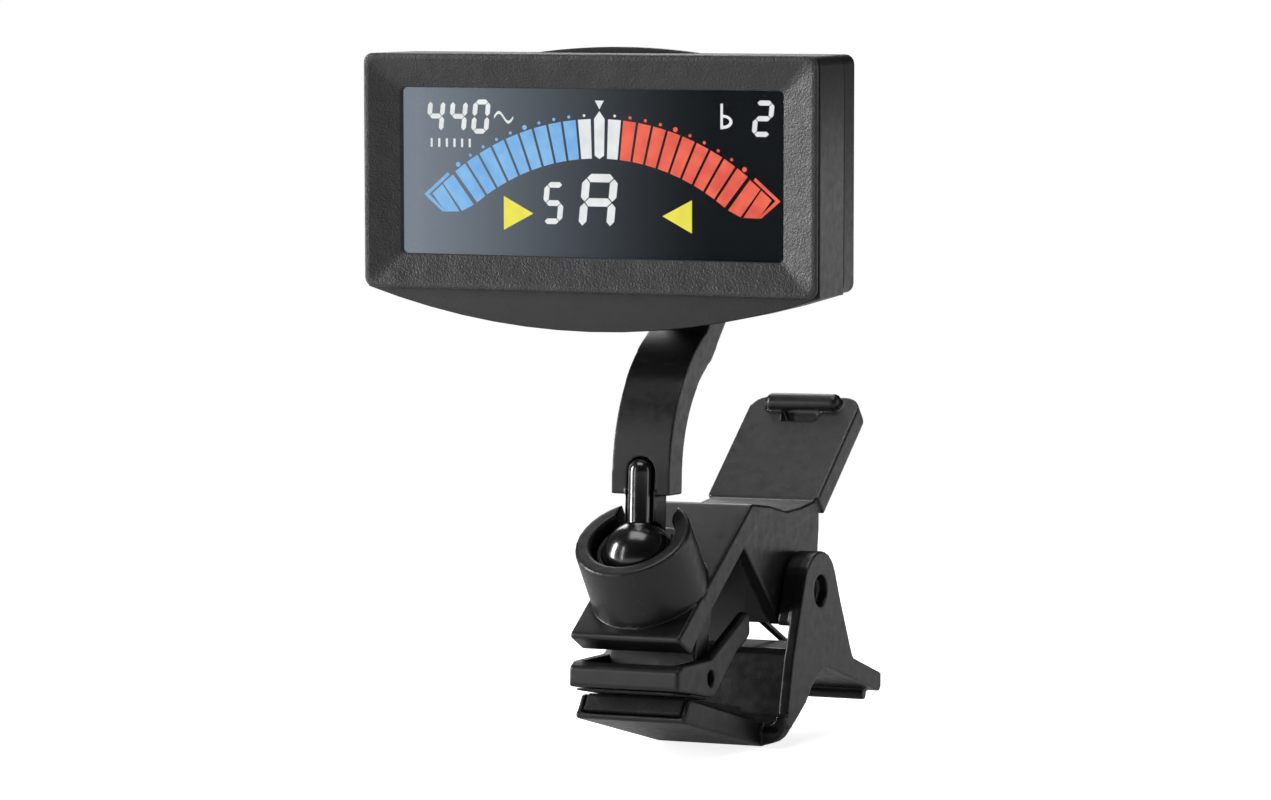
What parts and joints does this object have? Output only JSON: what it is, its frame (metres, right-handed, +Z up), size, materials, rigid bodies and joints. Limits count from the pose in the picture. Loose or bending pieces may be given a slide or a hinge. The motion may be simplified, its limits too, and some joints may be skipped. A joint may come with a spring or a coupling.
{
  "type": "clip-on instrument tuner",
  "caption": "Clip-on instrument tuner: a wide display head tilts on a curved arm whose ball joint stands on a sprung clip with rubber jaw pads.",
  "frame": {"origin": "middle of the lower jaw's flat underside, on the centreline", "axes": "+X along the pivot pin, to the right seen from the display side; the clip's mouth and the display face -Y; +Z up"},
  "size_m": [0.0618, 0.0598, 0.0878],
  "materials": {
    "case_plastic": "fine sprayed texture, dark grey",
    "black_plastic": "polished black moulding",
    "clip_plastic": "satin black moulding",
    "rubber": "matt soft rubber",
    "lens": "clear hard-coated window",
    "lcd": "dark liquid crystal glass",
    "diffuser": "milky light guide",
    "board_green": "solder-masked glass epoxy board",
    "chip": "moulded epoxy",
    "steel": "nickel-plated or spring steel",
    "brass": "rolled brass sheet"
  },
  "bodies": {
    "lower_clip": {"lower_lever": "clip_plastic", "lower_jaw_pad": "rubber", "pivot_pin": "steel", "torsion_spring": "steel"},
    "upper_clip": {"upper_lever": "clip_plastic"},
    "carrier": {"pad_carrier": "clip_plastic", "upper_jaw_pad": "rubber", "carrier_pin": "steel"},
    "ball_seat": {"ball_seat": "black_plastic"},
    "ball_stud": {"ball_stud": "black_plastic"},
    "arm": {"arm": "clip_plastic"},
    "head": {"bezel": "case_plastic", "front_case": "case_plastic", "rear_case": "case_plastic", "display_window": "lens", "lcd_glass": "lcd", "backlight_guide": "diffuser", "connector_strip": "rubber", "circuit_board": "board_green", "tuner_chip": "chip", "quartz_crystal": "steel", "piezo_sensor": "brass", "calibration_switch": "steel", "instrument_switch": "steel", "flat_switch": "steel", "power_switch": "steel", "coin_cell": "steel", "negative_contact": "brass", "positive_contact": "brass", "case_screw_1": "steel", "case_screw_2": "steel", "case_screw_3": "steel", "case_screw_4": "steel", "tilt_bracket": "black_plastic", "bracket_screw_1": "steel", "bracket_screw_2": "steel", "tilt_pin": "steel", "friction_washer_1": "steel", "friction_washer_2": "steel"},
    "battery_cover": {"battery_cover": "case_plastic"},
    "power_button": {"power_button": "case_plastic"},
    "calibration_button": {"calibration_button": "rubber"},
    "instrument_button": {"instrument_button": "rubber"},
    "flat_button": {"flat_button": "rubber"}
  },
  "joints": [
    {"name": "jaw_open", "type": "hinge", "parent": "lower_clip", "child": "upper_clip", "pos_m": [0, 0.02115, 0.0165], "axis": [-1, 0, 0], "range_deg": [0, 30], "stiffness_Nm_per_rad": 0.12, "springref_deg": -40.11, "deforming": ["torsion_spring"]},
    {"name": "carrier_swivel", "type": "hinge", "parent": "upper_clip", "child": "carrier", "pos_m": [0, -0.00405, 0.0075], "axis": [-1, 0, 0], "range_deg": [-10, 0]},
    {"name": "ball_lean", "type": "hinge", "parent": "upper_clip", "child": "ball_seat", "pos_m": [0, -0.00891, 0.02243], "axis": [0, 1, 0], "range_deg": [-6, 6]},
    {"name": "ball_tilt", "type": "hinge", "parent": "ball_seat", "child": "ball_stud", "pos_m": [0, -0.00891, 0.02243], "axis": [1, 0, 0], "range_deg": [-15, 50]},
    {"name": "arm_spin", "type": "hinge", "parent": "ball_stud", "child": "arm", "pos_m": [0, -0.00891, 0.02243], "axis": [0.0198, 0.0011, 0.9998], "range_deg": [-18, 18]},
    {"name": "head_tilt", "type": "hinge", "parent": "arm", "child": "head", "pos_m": [-0.00025, 0.00802, 0.05896], "axis": [-0.9981, -0.0578, 0.0199], "range_deg": [-6, 70]},
    {"name": "battery_cover_turn", "type": "hinge", "parent": "head", "child": "battery_cover", "pos_m": [-0.01906, 0.00155, 0.07011], "axis": [-0.0568, 0.9972, 0.0483], "range_deg": [0, 45]},
    {"name": "power_press", "type": "slide", "parent": "head", "child": "power_button", "axis": [-0.0226, 0.0471, -0.9986], "range_m": [0, 0.0005], "stiffness_N_per_m": 300},
    {"name": "calibration_press", "type": "slide", "parent": "head", "child": "calibration_button", "axis": [0.0568, -0.9972, -0.0483], "range_m": [0, 0.0004], "stiffness_N_per_m": 300},
    {"name": "instrument_press", "type": "slide", "parent": "head", "child": "instrument_button", "axis": [0.0568, -0.9972, -0.0483], "range_m": [0, 0.0004], "stiffness_N_per_m": 300},
    {"name": "flat_press", "type": "slide", "parent": "head", "child": "flat_button", "axis": [0.0568, -0.9972, -0.0483], "range_m": [0, 0.0004], "stiffness_N_per_m": 300}
  ],
  "couplings": [
    {"joint": "carrier_swivel", "follows": "jaw_open", "ratio": -0.33333}
  ]
}
